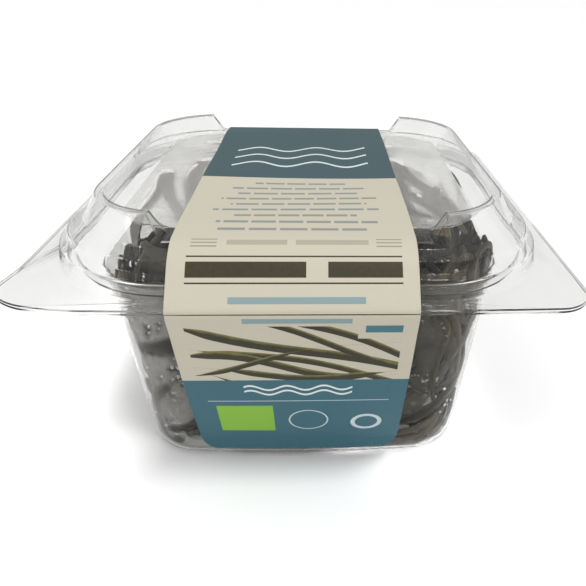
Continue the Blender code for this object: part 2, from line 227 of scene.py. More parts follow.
class Finish:
    """One material, or the world, under construction."""

    def __init__(self, name, kind="materials"):
        self.owner = getattr(bpy.data, kind).new(name)
        self.owner.use_nodes = True
        self.tree = self.owner.node_tree
        self.tree.nodes.clear()

    def node(self, kind, settings=None, inputs=None, output=0):
        """Adds a node with its settings, then its sockets' values or links, and returns an output."""
        made = self.tree.nodes.new(kind)
        for name, value in (settings or {}).items():
            setattr(made, name, value)
        for name, value in (inputs or {}).items():
            if isinstance(value, Value):
                self.tree.links.new(value.socket, made.inputs[name])
            else:
                made.inputs[name].default_value = value
        return Value(self, made.outputs[output]) if made.outputs else made

    def math(self, operation, *values):
        return self.node("ShaderNodeMath", {"operation": operation}, dict(enumerate(values)))

    def wave(self, value, length, turn=0.0):
        """Sine of a value, from -1 to 1."""
        angle = value * (2 * math.pi / length)
        return self.math("SINE", angle + turn if turn else angle)

    def blend(self, share, first, second):
        """Colour between two others."""
        ends = [c if isinstance(c, Value) else (*c, 1.0) for c in (first, second)]
        return self.node("ShaderNodeMix", {"data_type": "RGBA"}, {0: share, 6: ends[0], 7: ends[1]}, 2)

    def outward(self):
        """Above 0 where the surface faces away from the tub's middle."""
        spot, normal = [self.node("ShaderNodeTexCoord", output=kind) for kind in ("Object", "Normal")]
        away = self.node("ShaderNodeVectorMath", {"operation": "SUBTRACT"}, {0: spot, 1: HEART})
        return self.node("ShaderNodeVectorMath", {"operation": "DOT_PRODUCT"}, {0: away, 1: normal}, "Value")

    def noise(self, scale, detail=2.0, roughness=0.5):
        """Soft noise from 0 to 1, with so many patches to a metre."""
        spot = self.node("ShaderNodeTexCoord", output="Object")
        sockets = {"Vector": spot, "Scale": scale, "Detail": detail, "Roughness": roughness}
        return self.node("ShaderNodeTexNoise", inputs=sockets)

    def ramp(self, value, low, high):
        """0 below low, 1 above high, smooth between them."""
        sockets = {"Value": value, "From Min": low, "From Max": high}
        return self.node("ShaderNodeMapRange", {"interpolation_type": "SMOOTHSTEP"}, sockets)

    def bump(self, height, distance, strength):
        sockets = {"Height": height, "Distance": distance, "Strength": strength}
        return self.node("ShaderNodeBump", inputs=sockets, output="Normal")

    def surface(self, **sockets):
        """A Principled shader. Underscores in the names stand for spaces."""
        values = {}
        for name, value in sockets.items():
            values[name.replace("_", " ")] = (*value, 1.0) if hasattr(value, "__len__") else value
        return self.node("ShaderNodeBsdfPrincipled", inputs=values)

    def mix(self, share, first, second):
        """Between two shaders."""
        return self.node("ShaderNodeMixShader", inputs={0: share, 1: first, 2: second})

    def done(self, shader, kind="Material"):
        self.node("ShaderNodeOutput" + kind, inputs={"Surface": shader})
        return self.owner


def clear_sheet(name, look, milky_share, ior=SHEET_IOR):
    """Thin clear plastic, with a faint haze that is stronger in patches."""
    finish = Finish(name)
    haze = look.haze * milky_share
    clear = finish.surface(
        Base_Color=look.tint, Roughness=0.03, IOR=ior, Transmission_Weight=1.0,
        Normal=finish.bump(finish.noise(140, 3.0), 0.00006, 0.5),
    )
    for_lamps = finish.node("ShaderNodeBsdfTransparent", inputs={"Color": (0.985, 0.985, 0.985, 1.0)})
    lamp_ray = finish.node("ShaderNodeLightPath", output="Is Shadow Ray")
    milky = finish.surface(Base_Color=look.fog_colour, Roughness=0.45)
    patches = finish.ramp(finish.noise(60, 3.0, 0.6), 0.3, 0.75) * haze + haze * 0.5
    return finish.done(finish.mix(patches, finish.mix(lamp_ray, clear, for_lamps), milky))


def film_finish(colour):
    """Moisture and salt inside the sheet, as thick as the mesh's Film value says."""
    finish = Finish("moist_film")
    film = finish.node("ShaderNodeAttribute", {"attribute_name": "Film"}, output="Fac")
    drops = finish.ramp(finish.noise(1100, 3.0, 0.6), 0.35, 0.7)
    crust = finish.ramp(finish.noise(700, 4.0, 0.7), 0.70, 0.76) * finish.ramp(finish.noise(75), 0.52, 0.62)
    return finish.done(finish.surface(
        Base_Color=finish.blend(crust, colour, (0.9, 0.9, 0.9)), Roughness=0.5,
        Alpha=film * (drops * 0.25 + 0.87) + crust * film * 2.0,
    ))


def seaweed_finish(name, shade, more_salt=0.0):
    """Wet leathery strap with lighter patches and dried salt in its creases."""
    look = bpy.context.scene.seatub_weed
    finish = Finish(name)
    patches = finish.ramp(finish.noise(55, 4.0, 0.6), 0.42, 0.72)
    fibres = finish.noise(260, 3.0, 0.6)
    body = finish.blend(patches, [c * shade for c in look.dark], look.light)
    body = finish.blend(finish.ramp(fibres, 0.5, 0.85) * 0.25, body, (0.12, 0.10, 0.055))
    salt_share = look.salt_crust + more_salt
    crust = finish.ramp(finish.noise(520, 5.0, 0.75), 0.66 - salt_share, 0.74 - salt_share)
    crust = crust * finish.ramp(finish.noise(90), 0.45, 0.62)
    return finish.done(finish.surface(
        Base_Color=finish.blend(crust * 0.8, body, (0.62, 0.62, 0.58)),
        Roughness=finish.noise(120) * 0.35 + 0.2 + crust * 0.3, Specular_IOR_Level=0.16,
        Normal=finish.bump(fibres * 0.6 + crust, 0.0003, 0.6),
    ))


def salt_finish():
    """Cloudy white grain that lets some light through."""
    finish = Finish("salt_grain")
    cloud = finish.noise(700, 3.0)
    return finish.done(finish.surface(
        Base_Color=finish.blend(cloud, (0.92, 0.93, 0.93), (0.70, 0.72, 0.72)),
        Roughness=cloud * 0.3 + 0.12, IOR=1.54, Transmission_Weight=0.35,
        Normal=finish.bump(cloud, 0.0002, 0.5),
    ))


# Meshes

def outline(half_width, front, back, corner, bow_front=0.0, bow_sides=0.0, bow_back=0.0):
    """Plan outline with round corners, anticlockwise from the front end of the front right arc."""
    middle_y = (front + back) / 2
    half_depth = (back - front) / 2
    arcs = []
    for sx, sy, start in ((1, -1, -90), (1, 1, 0), (-1, 1, 90), (-1, -1, 180)):
        cx = sx * (half_width - corner)
        cy = sy * (half_depth - corner)
        turns = ARC if sx * sy < 0 else [90 - a for a in reversed(ARC)]
        angles = [math.radians(start + a) for a in turns]
        arcs.append([(cx + corner * math.cos(a), cy + corner * math.sin(a)) for a in angles])
    points = []
    for i, arc in enumerate(arcs):
        points += arc
        x0, y0 = arc[-1]
        x1, y1 = arcs[(i + 1) % 4][0]
        for k in range(1, SIDE_PARTS):
            t = k / SIDE_PARTS
            points.append((x0 + (x1 - x0) * t, y0 + (y1 - y0) * t))
    bowed = []
    for x, y in points:
        across = 1 - (x / half_width) ** 2
        along = 1 - (y / half_depth) ** 2
        bow_y = bow_back if y > 0 else bow_front
        edge_y = (abs(y) / half_depth) ** 4
        edge_x = (abs(x) / half_width) ** 4
        new_x = x + math.copysign(bow_sides * edge_x * along, x)
        new_y = y + middle_y + math.copysign(bow_y * edge_y * across, y)
        bowed.append((new_x, new_y))
    return bowed


def flange_outline():
    return outline(FLANGE_HALF_WIDTH, FLANGE_FRONT, FLANGE_BACK, FLANGE_CORNER, bow_front=FLANGE_BOW)


def rim_outline(reach):
    """The rim's plan, moved out by reach."""
    depth = RIM_HALF_DEPTH + reach
    return outline(RIM_HALF_WIDTH + reach, -depth, depth, RIM_CORNER + reach)


def wall_size(t, inset=0.0):
    """Half width, half depth and corner radius of the tub's wall, t from 0 at its foot to 1 at its mouth."""
    return [foot + (mouth - foot) * t - inset for foot, mouth in zip(FOOT, MOUTH)]


def wall_outline(t, inset=0.0):
    """Plan of the tub's wall, t from 0 at the foot to 1 at the mouth."""
    half_width, half_depth, corner = wall_size(t, inset)
    bow = FOOT_BOW * (1 - t)
    return outline(half_width, -half_depth, half_depth, corner, bow, bow, bow)


def wall_share(z):
    """0 at the foot of the wall or below, 1 at its mouth."""
    return max(0.0, (z - FOOT_CURVE) / (MOUTH_Z - FOOT_CURVE))


def level(points, z):
    return [Vector((x, y, z)) for x, y in points]


def smooth(t):
    t = min(1.0, max(0.0, t))
    return t * t * (3 - 2 * t)


def corners(bm, rings):
    return [[bm.verts.new(p) for p in ring] for ring in rings]


def bridge(bm, rows):
    """Quads between rings of as many corners each."""
    for low, high in zip(rows, rows[1:]):
        for i, corner in enumerate(low):
            j = (i + 1) % len(low)
            bm.faces.new((corner, low[j], high[j], high[i]))


def finish_mesh(bm, name):
    mesh = bpy.data.meshes.new(name)
    bm.to_mesh(mesh)
    bm.free()
    return mesh


def loft(name, rings, close_last=False, close_first=False):
    """Open surface through rings of as many points each, with flat ends where asked."""
    bm = bmesh.new()
    rows = corners(bm, rings)
    bridge(bm, rows)
    if close_first:
        bm.faces.new(list(reversed(rows[0])))
    if close_last:
        bm.faces.new(rows[-1])
    return finish_mesh(bm, name)


def eased(points, radius, parts):
    """Polyline whose inner corners are rounded off by short curves."""
    line = [points[0]]
    for before, corner, after in zip(points, points[1:], points[2:]):
        back, ahead = before - corner, after - corner
        start = corner + back * min(0.45, radius / max(back.length, radius))
        end = corner + ahead * min(0.45, radius / max(ahead.length, radius))
        for k in range(parts + 1):
            t = k / parts
            line.append(start * (1 - t) ** 2 + corner * (2 * t * (1 - t)) + end * t ** 2)
    return line + [points[-1]]


def eased_rings(rings):
    """Rings of a loft with the creases between them rounded."""
    return list(zip(*[eased(column, CREASE, 3) for column in zip(*rings)]))


def add_object(name, data):
    obj = bpy.data.objects.new(name, data)
    bpy.context.scene.collection.objects.link(obj)
    return obj


def add_piece(name, mesh, material, body, slot, replaced=(), modifiers=(), sharp=40):
    """Adds a piece with its modifiers applied, on the body it rides."""
    obj = add_object(name, mesh)
    for kind, settings in modifiers:
        modifier = obj.modifiers.new(kind.title(), kind)
        for key, value in settings.items():
            setattr(modifier, key, value)
    if modifiers:
        evaluated = obj.evaluated_get(bpy.context.evaluated_depsgraph_get())
        obj.data = bpy.data.meshes.new_from_object(evaluated)
        obj.modifiers.clear()
    obj.data.shade_smooth()
    obj.data.set_sharp_from_angle(angle=math.radians(sharp))
    obj.data.materials.clear()
    obj.data.materials.append(material)
    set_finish(obj, slot)
    if replaced:
        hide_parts(*replaced)
    if body:
        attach(obj, body)
    return obj


# Tub, lid and hinge

def corner_lift(p):
    """Share of the lift that the flange has at a point near its front left corner."""
    aside = smooth((-p.x - LIFT_START[0]) / LIFT_LENGTH[0])
    return aside * smooth((-p.y - LIFT_START[1]) / LIFT_LENGTH[1])


def add_shell(body, rings, milky_share, ior, **ends):
    """Adds the clear sheet of the tub or the lid, with one corner of its flange bent up."""
    look = bpy.context.scene.seatub_sheet
    for ring in rings:
        for p in ring:
            p.z += look.corner_lift * corner_lift(p)
    finish = clear_sheet(body + "_sheet", look, milky_share, ior)
    name = body + "_shell"
    shell = ("SOLIDIFY", {"thickness": SHEET, "offset": -1, "use_even_offset": True})
    add_piece(name, loft(name, rings, **ends), finish, body, "clear_sheet", [body], [shell])


def tub_rings():
    """Rings of the tub's outside, from the round edge of its foot to the flange."""
    rings = []
    for degrees in range(0, 91, 15):
        angle = math.radians(degrees)
        inset = FOOT_CURVE * (1 - math.sin(angle))
        rings.append(level(wall_outline(0.0, inset), FOOT_CURVE * (1 - math.cos(angle))))
    for t in (0.2, 0.4, 0.6, 0.8):
        rings.append(level(wall_outline(t), FOOT_CURVE + (MOUTH_Z - FOOT_CURVE) * t))
    crests = [rings[-1], level(wall_outline(1.0), MOUTH_Z)]
    crests += [level(rim_outline(reach), z) for reach, z in LIP_STEPS]
    crests.append(level(flange_outline(), TUB_FLANGE_UNDER))
    return rings + eased_rings(crests)[1:]


def lid_rings():
    """Rings of the lid's outside, from the flange over its steps and rims to the panel's middle."""
    half_channel = RIM_HALF_WIDTH - RIM_CORNER
    crests = [level(flange_outline(), LID_FLANGE_TOP)]
    crests += [level(rim_outline(reach), z) for reach, z in LID_STEPS]
    for reach in (0.0, -RIM_LAND):
        slope = (RIM_CORNER + reach) * math.sin(CHANNEL_SLOPE)
        ring = []
        for x, y in rim_outline(reach):
            rise = min(1.0, max(0.0, (abs(x) - half_channel) / slope))
            if reach == 0.0:
                y += (CHANNEL_BACK_REACH if y > 0 else -CHANNEL_FRONT_REACH) * (1 - rise)
            ring.append(Vector((x, y, PANEL + (RIM_TOP - PANEL) * rise)))
        crests.append(ring)
    foot = rim_outline(-RIM_FOOT)
    crests.append(level(foot, PANEL))
    for scale in (0.8, 0.6, 0.4, 0.2):
        ring = []
        for x, y in foot:
            dip = PANEL_DIP * math.sin(95 * x * scale) * math.cos(80 * y * scale) * (1 - scale)
            ring.append(Vector((x * scale, y * scale, PANEL - abs(dip))))
        crests.append(ring)
    return eased_rings(crests)


class SEATUB_OT_tub(bpy.types.Operator):
    """Make the tub of clear sheet with its rolled lip and flange"""
    bl_idname = "seatub.tub"
    bl_label = "Tub"

    def execute(self, context):
        add_shell("tub", tub_rings(), 1, TUB_IOR, close_first=True)
        return {"FINISHED"}


class SEATUB_OT_lid(bpy.types.Operator):
    """Make the lid with its raised rims, channels, steps and flange"""
    bl_idname = "seatub.lid"
    bl_label = "Lid"

    def execute(self, context):
        add_shell("lid", lid_rings(), LID_MILKY, SHEET_IOR, close_last=True)
        return {"FINISHED"}


class SEATUB_OT_hinge(bpy.types.Operator):
    """Make the thin sheet that joins the two flanges at the back"""
    bl_idname = "seatub.hinge"
    bl_label = "Hinge sheet"

    def execute(self, context):
        low_z = TUB_FLANGE_UNDER + SHEET / 2
        high_z = LID_FLANGE_TOP - SHEET / 2
        rows = []
        for k in range(13):
            bulge = math.sin(math.pi * k / 12)
            y = FLANGE_BACK + bulge * 2 * HINGE_RADIUS - HINGE_LAP * (1 - bulge)
            z = low_z + (high_z - low_z) * k / 12
            rows.append([Vector((HINGE_HALF_LENGTH * (i / 12 - 1), y, z)) for i in range(25)])
        finish = clear_sheet("hinge_sheet", context.scene.seatub_sheet, LID_MILKY)
        thin = ("SOLIDIFY", {"thickness": HINGE_THICKNESS, "offset": 0})
        mesh = strip("hinge_sheet", rows)
        hinge = add_piece("hinge_sheet", mesh, finish, None, "clear_sheet", ["hinge"], [thin])
        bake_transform(hinge)
        return {"FINISHED"}


# Paper band

def strip(name, rows, uv_rows=None):
    """Open strip through rows of as many points each, with print coordinates where they are given."""
    bm = bmesh.new()
    grid = corners(bm, rows)
    uv = bm.loops.layers.uv.new("Print") if uv_rows else None
    for r in range(len(grid) - 1):
        for i in range(len(grid[r]) - 1):
            places = ((r, i), (r, i + 1), (r + 1, i + 1), (r + 1, i))
            face = bm.faces.new([grid[a][b] for a, b in places])
            if uv:
                for loop, (a, b) in zip(face.loops, places):
                    loop[uv].uv = uv_rows[a][b]
    return finish_mesh(bm, name)


def wall_front(x, z):
    """How far the tub's front wall stands before the middle at x and z."""
    t = wall_share(z)
    return wall_size(t)[1] + FOOT_BOW * (1 - t) * (1 - (x / FOOT[0]) ** 2)


def band_front_y(x, z):
    """Back face of the hanging band: on the wall low down, then straight out to the flange's edge."""
    rise = max(0.0, (z - BAND_FREE_FROM) / (FOLD_Z - BAND_FREE_FROM))
    on_wall = -wall_front(x, z) - GAP
    return on_wall + (FOLD_Y - on_wall) * rise


def band_top_route():
    """Side view of the band's under face on the lid, from its back end to the fold."""
    foot_reach, _ = LID_STEPS[0]
    low_reach, low_z = LID_STEPS[1]
    high_reach, high_z = LID_STEPS[3]
    route = [
        (RIM_HALF_DEPTH + foot_reach + GAP, BAND_BACK_END),
        (RIM_HALF_DEPTH + low_reach + GAP, low_z + GAP / 2),
        (RIM_HALF_DEPTH + high_reach + GAP / 2, high_z + GAP),
        (RIM_HALF_DEPTH + CHANNEL_BACK_REACH + GAP / 2, PANEL + GAP),
        (0.0, PANEL + GAP),
        (-RIM_HALF_DEPTH - CHANNEL_FRONT_REACH, PANEL + GAP),
        (-RIM_HALF_DEPTH - high_reach - GAP / 2, high_z + GAP),
        (FOLD_Y, LID_FLANGE_TOP + GAP),
        (FOLD_Y, FOLD_Z + GAP / 2),
    ]
    return [Vector((0.0, y, z)) for y, z in route]


def evenly(points, step):
    """Points every step along a polyline, ends included, with their distance from the start."""
    out = [(points[0], 0.0)]
    done = 0.0
    for a, b in zip(points, points[1:]):
        length = (b - a).length
        parts = max(1, round(length / step))
        for k in range(1, parts + 1):
            out.append((a.lerp(b, k / parts), done + length * k / parts))
        done += length
    return out


def paper_wave(x, along):
    """How far the paper stands off the panel, a little uneven as folded paper lies."""
    return 0.00035 * (0.5 + 0.5 * math.sin(along * 130 + x * 60)) + 0.0003 * (x / BAND_HALF_WIDTH) ** 2


def across_band(half_width=BAND_HALF_WIDTH):
    """Places across the band, from left to right."""
    middle = BAND_COLUMNS // 2
    return [BAND_X + half_width * (i / middle - 1) for i in range(BAND_COLUMNS)]


def print_place(x, along):
    """Print coordinates of a point of the band."""
    return ((x - BAND_X) / (2 * BAND_HALF_WIDTH) + 0.5, along * PRINT_SCALE)


def hanging_heights():
    """Heights of the hanging part from the fold down, with its half width at each."""
    straight = BAND_FOOT + BAND_CORNER
    heights = [FOLD_Z - GAP / 2, TUB_FLANGE_UNDER - 0.0006]
    heights += [straight + (BAND_FREE_TOP - BAND_CORNER - BAND_FOOT) * (1 - k / 44) for k in range(45)]
    rows = [(z, BAND_HALF_WIDTH) for z in heights]
    for degrees in range(10, 91, 10):
        angle = math.radians(degrees)
        z = BAND_FOOT + BAND_CORNER * (1 - math.sin(angle))
        rows.append((z, BAND_HALF_WIDTH - BAND_CORNER * (1 - math.cos(angle))))
    return rows


class SEATUB_OT_band(bpy.types.Operator):
    """Make the printed paper band, in the two parts that the fold at the flange's edge joins"""
    bl_idname = "seatub.band"
    bl_label = "Paper band"

    def execute(self, context):
        finish = band_finish(context.scene.seatub_band)
        paper = ("SOLIDIFY", {"thickness": PAPER, "offset": -1, "use_even_offset": True})
        route = evenly(eased(band_top_route(), BAND_CREASE, 4), BAND_STEP)
        start, end = PANEL_STRETCH
        rows, uv_rows = [], []
        for p, along in route:
            lift = smooth((along - start) / PANEL_FADE) * smooth((end - along) / PANEL_FADE)
            columns = across_band()
            rows.append([Vector((x, p.y, p.z + lift * paper_wave(x - BAND_X, along))) for x in columns])
            uv_rows.append([print_place(x, along) for x in columns])
        mesh = strip("band_over_lid", rows, uv_rows)
        add_piece("band_over_lid", mesh, finish, "lid", "band_paper", ["band_top"], [paper])

        along = route[-1][1]
        middle = BAND_COLUMNS // 2
        rows, uv_rows = [], []
        for z, half_width in hanging_heights():
            free = z > TUB_FLANGE_UNDER - 0.001
            row = [Vector((x, FOLD_Y if free else band_front_y(x, z), z)) for x in across_band(half_width)]
            if rows:
                along += (row[middle] - rows[-1][middle]).length
            rows.append(row)
            uv_rows.append([print_place(p.x, along) for p in row])
        mesh = strip("band_front_panel", rows, uv_rows)
        add_piece("band_front_panel", mesh, finish, "tub", "band_paper", ["band_front"], [paper])
        return {"FINISHED"}


# Left and right ends of the small lines, in mm across the band
TEXT_LINES = ((16, 42), (10, 48), (12, 45), (8, 50), (11, 47), (7, 50), (13, 44), (9, 49), (10, 46))

# Strands of the picture strip, in mm: start, lean, swing, wave length, turn, half width and both ends
PRINTED_STRANDS = (
    (-1.0, 0.33, 1.5, 71, 0.3, 1.6, 0, 70), (5.5, 0.30, 1.8, 62, 1.4, 1.2, 5, 70),
    (11.0, 0.17, 2.2, 49, 3.0, 1.5, 0, 49), (-9.5, 0.44, 1.6, 55, 2.0, 1.2, 0, 70),
    (17.5, 0.03, 2.0, 58, 4.4, 1.3, 9, 52), (18.5, -0.26, 1.6, 52, 0.8, 1.0, 2, 31),
    (-17.0, 0.52, 1.3, 47, 5.2, 1.3, 0, 70), (15.5, 0.42, 1.8, 44, 5.2, 1.0, 7, 40),
)


def band_finish(look):
    """Satin printed paper: colour blocks, plain rules, bars and rings, and a picture strip of strands."""
    finish = Finish("band_print")
    uv = finish.node("ShaderNodeUVMap", {"uv_map": "Print"}, output="UV")
    u = finish.node("ShaderNodeSeparateXYZ", inputs={"Vector": uv}, output="X") * (2000 * BAND_HALF_WIDTH)
    v = finish.node("ShaderNodeSeparateXYZ", inputs={"Vector": uv}, output="Y") * (1000 / PRINT_SCALE)
    colour = finish.blend(v < look.teal_end, look.cream, look.teal_top)

    def ink(mask, tone):
        nonlocal colour
        colour = finish.blend(mask, colour, tone)

    def between(value, low, high):
        return (value > low) * (value < high)

    def block(left, right, top, bottom):
        return between(u, left, right) * between(v, top, bottom)

    def ring(cx, cy, radius, line):
        return finish.math("COMPARE", ((u - cx) ** 2 + (v - cy) ** 2) ** 0.5, radius, line / 2)

    def ripple(cy, swing, length, line, left, right):
        wave = finish.wave(u, length) * swing + cy
        return finish.math("COMPARE", v, wave, line / 2) * between(u, left, right)

    for k in range(3):
        ink(ripple(47 + 8.5 * k, 2.4, 19, 1.3, 7, 50), (0.66, 0.70, 0.70))
    for k, (left, right) in enumerate(TEXT_LINES):
        row = look.text_top + k * look.text_step
        breaks = finish.math("FRACT", (u + 7.3 * k) / (6.1 + 0.7 * (k % 3))) > 0.12
        ink(block(left, right, row, row + 1.3) * breaks * 0.75, (0.16, 0.20, 0.21))
    for k in range(3):
        row = look.rules_top + 1.1 * k
        ink(block(4.8, 10.8, row, row + 0.4) + block(47.8, 53.8, row, row + 0.4), (0.30, 0.27, 0.22))
    low, high = look.rules_top + 0.4, look.rules_top + 2.0
    ink((block(13, 27, low, high) + block(29, 46, low, high)) * 0.7, (0.33, 0.30, 0.24))
    words = between(u, 4.2, 31.5) + between(u, 36.5, 53.6)
    title = between(v, look.title_top + 1.5, look.title_top + 5.3) * words
    for row in (look.title_top, look.title_top + 6.4):
        title = title + block(4.2, 53.6, row, row + 0.4)
    ink(title, (0.035, 0.03, 0.012))
    for k, (left, right) in enumerate(((14, 45), (17, 42))):
        row = look.title_top + 9.8 + 4.6 * k
        ink(block(left, right, row, row + 1.6) * 0.7, (0.10, 0.24, 0.30))
    ink(block(45.2, 53.9, look.title_top + 16.8, look.title_top + 19.4), (0.05, 0.16, 0.20))

    corner = block(43.5, 54, look.picture_top, look.picture_top + 4.6)
    picture = between(v, look.picture_top, look.teal_low) * between(u, 3.6, 54) * (1 - corner)
    down = v - look.picture_top
    mottle = finish.noise(420, 3.0) * 0.9
    for start, lean, swing, length, turn, half, left, right in PRINTED_STRANDS:
        middle = u * lean + finish.wave(u, length, turn) * swing + start
        ends = finish.ramp(u, left, left + 9) * finish.ramp(u, right, right - 9)
        off = (down - middle) / (ends * half + 0.02)
        side = finish.ramp(off + mottle, -0.5, 0.3)
        shade = finish.blend(side, (0.17, 0.155, 0.045), (0.028, 0.026, 0.010))
        ink((abs(off) < 1.0) * picture, shade)

    low = look.teal_low
    ink(v > low, look.teal_low_colour)
    for cy in (3.6, 5.8):
        ink(ripple(low + cy, 1.0, 9.5, 0.8, 15, 43), (0.72, 0.76, 0.76))
    ink(block(5, 53, low + 9.8, low + 10.1), (0.50, 0.60, 0.63))
    ink(block(6.8, 21.9, low + 12.4, low + 26.6), (0.22, 0.46, 0.035))
    ink(ring(31.4, low + 20.4, 5.3, 0.4) + ring(47.6, low + 22.0, 3.8, 1.2), (0.55, 0.64, 0.67))
    grain = finish.noise(900)
    ink(grain * 0.05, (0.45, 0.44, 0.40))
    colour = finish.blend(finish.outward() > 0, look.back, colour)
    return finish.done(finish.surface(
        Base_Color=colour, Roughness=grain * 0.15 + 0.45, Specular_IOR_Level=0.2,
        Normal=finish.bump(grain, 0.00004, 0.35),
    ))


# Strands

def open_plan(z):
    """Half width, half depth and squareness of the room for strands at height z."""
    t = min(1.0, wall_share(z))
    rise = max(0.0, (z - HEART.z) / REACH_UP)
    draw_in = 1 - MOUND_DRAW_IN * min(rise, MOUND_TOP) ** 3
    half_width, half_depth, _ = [(size - SHEET - WALL_CLEAR) * draw_in for size in wall_size(t)]
    return half_width, half_depth, FOOT_POWER + (MOUTH_POWER - FOOT_POWER) * t


def skin_level(p):
    """0 at the heart of the tangle, 1 on its outermost skin."""
    half_width, half_depth, plan_power = open_plan(p.z)
    rise = p.z - HEART.z
    reach, power = (REACH_UP, MOUND_POWER) if rise > 0 else (REACH_DOWN, FLOOR_POWER)
    plan = (abs(p.x) / half_width) ** plan_power + (abs(p.y) / half_depth) ** plan_power
    return (plan ** (power / plan_power) + (abs(rise) / reach) ** power) ** (1 / power)


def skin_normal(p):
    step = 0.0002
    shifts = [Vector(axis) * step for axis in ((1, 0, 0), (0, 1, 0), (0, 0, 1))]
    return Vector([skin_level(p + shift) - skin_level(p - shift) for shift in shifts]).normalized()


def slant(skin):
    """Axis round which the strands of a skin run, and two directions square to it."""
    tilt = SKIN_TILTS[skin % len(SKIN_TILTS)]
    turn = FIRST_TURN + SLANT_TURN * skin
    axis = Vector((math.sin(tilt) * math.cos(turn), math.sin(tilt) * math.sin(turn), math.cos(tilt)))
    first = axis.orthogonal().normalized()
    return axis, first, axis.cross(first)


def strand_centre(axis, along):
    """Point inside the skins that lies along metres from the heart, measured along the axis."""
    lean = Vector((axis.x * REACH_ASIDE ** 2, axis.y * REACH_ASIDE ** 2, axis.z * REACH_DOWN ** 2))
    return HEART + lean * (along / lean.dot(axis))


def skin_point(start, direction, target):
    """Where a ray from inside the tangle reaches a skin level."""
    low, high = 0.0, RAY_LENGTH
    for _ in range(RAY_HALVINGS):
        middle = (low + high) / 2
        if skin_level(start + direction * middle) < target:
            low = middle
        else:
            high = middle
    return start + direction * low


def on_skin(skin, along, theta, proud=0.0):
    """Point of a skin at angle theta round its slant axis, along metres from the heart along the axis."""
    axis, first, second = slant(skin)
    target = 1 - SKIN_STEP * skin
    room = 1 - (along / (REACH_ASIDE * target)) ** 2
    sway = room * sum(swing * math.sin(count * theta + turn * skin) for count, turn, swing in WAVES)
    direction = first * math.cos(theta) + second * math.sin(theta)
    return skin_point(strand_centre(axis, along + sway), direction, target + proud)


def station_angles(skin, along, start, end):
    """Angles of a strand's stations, closer together where it turns."""
    fine = math.radians(1.5)
    angles = [start]
    theta, here = start, on_skin(skin, along, start)
    since, turned, heading = 0.0, 0.0, None
    while theta < end:
        theta += fine
        there = on_skin(skin, along, theta)
        run = there - here
        if heading is not None:
            turned += heading.angle(run)
        heading, here = run, there
        since += run.length
        if since >= STATION or turned >= STATION_TURN:
            angles.append(theta)
            since, turned = 0.0, 0.0
    return angles


def taper(stations_left, end_width):
    """Share of the full width that is left this many stations from an end."""
    return end_width + (1 - end_width) * smooth(stations_left / TAPER_STATIONS)


def finer(angles):
    """Angles between the stations too, each with its place counted in stations."""
    out = [(angles[0], 0.0)]
    for i, (a, b) in enumerate(zip(angles, angles[1:])):
        for k in range(1, STATION_PARTS + 1):
            out.append((a + (b - a) * k / STATION_PARTS, i + k / STATION_PARTS))
    return out


def sections(route, widths, thickness, rolls=None, normal=skin_normal):
    """Four-cornered sections along a route, lying on the skins or as normal says, rolled where asked."""
    rings = []
    for i, p in enumerate(route):
        ahead = route[min(i + 1, len(route) - 1)]
        behind = route[max(i - 1, 0)]
        run = (ahead - behind).normalized()
        across = run.cross(normal(p)).normalized()
        if rolls:
            across.rotate(Matrix.Rotation(rolls[i], 3, run))
        high = across.cross(run) * (thickness / 2)
        side = across * (widths[i] / 2)
        rings.append([p + side - high, p - side - high, p - side + high, p + side + high])
    return rings


def limb_sections(skin, along, angles, side, width):
    """Sections of a limb after the fork, where it starts as half the stem."""
    route, widths = [], []
    spots = (*LIMB_OPENING, 1.0)
    for theta, place in finer(angles):
        here = min(int(place), len(spots) - 1)
        after = min(here + 1, len(spots) - 1)
        opening = spots[here] + (spots[after] - spots[here]) * (place - int(place))
        proud = FROND_RIPPLE * math.sin(9 * theta + side)
        route.append(on_skin(skin, along + side * LIMB_SPREAD * opening, theta, proud))
        share = LIMB_FIRST_WIDTH + (LIMB_WIDTH - LIMB_FIRST_WIDTH) * smooth(place - 1)
        widths.append(width * share * taper(len(angles) - 1 - place, LIMB_END_WIDTH))
    return sections(route, widths, FROND_THICKNESS * PLUMP)[1:]


# Subdividing draws a strap in, so its corners start further out
BROAD = 1.12
PLUMP = 1.3


def start_strap(bm, rings):
    """Adds a strap that is open at its last ring, and returns that ring."""
    rows = corners(bm, rings)
    bm.faces.new(list(reversed(rows[0])))
    bridge(bm, rows)
    return rows[-1]


def forked_strap(bm, stem, left, right):
    """Adds a closed strap whose stem forks into two limbs, from the sections of all three."""
    right_low, left_low, left_high, right_high = start_strap(bm, stem)
    _, middle_low = bmesh.utils.edge_split(bm.edges.get((right_low, left_low)), right_low, 0.5)
    _, middle_high = bmesh.utils.edge_split(bm.edges.get((right_high, left_high)), right_high, 0.5)
    left_start = [middle_low, left_low, left_high, middle_high]
    right_start = [right_low, middle_low, middle_high, right_high]
    for start, limb in ((left_start, left), (right_start, right)):
        rows = [start] + corners(bm, limb)
        bridge(bm, rows)
        bm.faces.new(rows[-1])


def add_straps(name, bm, finish, replaced=()):
    """Adds straps as one piece with rounded edges."""
    rounded = ("SUBSURF", {"levels": 1})
    add_piece(name, finish_mesh(bm, name), finish, "tub", "seaweed", replaced, [rounded], sharp=80)


# Strands at the wall: how close they and the layers behind them come, and their thickness
STRAND_CLEAR = 0.00125
LAYER_STEP = 0.00025
LAYERS = 12
WALL_STRAND_THICKNESS = 0.0008

# Lowest and highest place of loose strands, and how much is left of what goes beyond it
FLOOR_CLEAR = 0.0022
PANEL_CLEAR = 0.0722
SQUEEZE = 0.3

# A strand that wanders: its step, how much it turns at random and how much of the last turn it keeps
LOOSE_STRIDE = 0.0026
RESTLESS = 0.07
TURN_KEPT = 0.8

# How many pieces the strands are shared out to
WALL_GROUPS = 3
LOOSE_GROUPS = 8

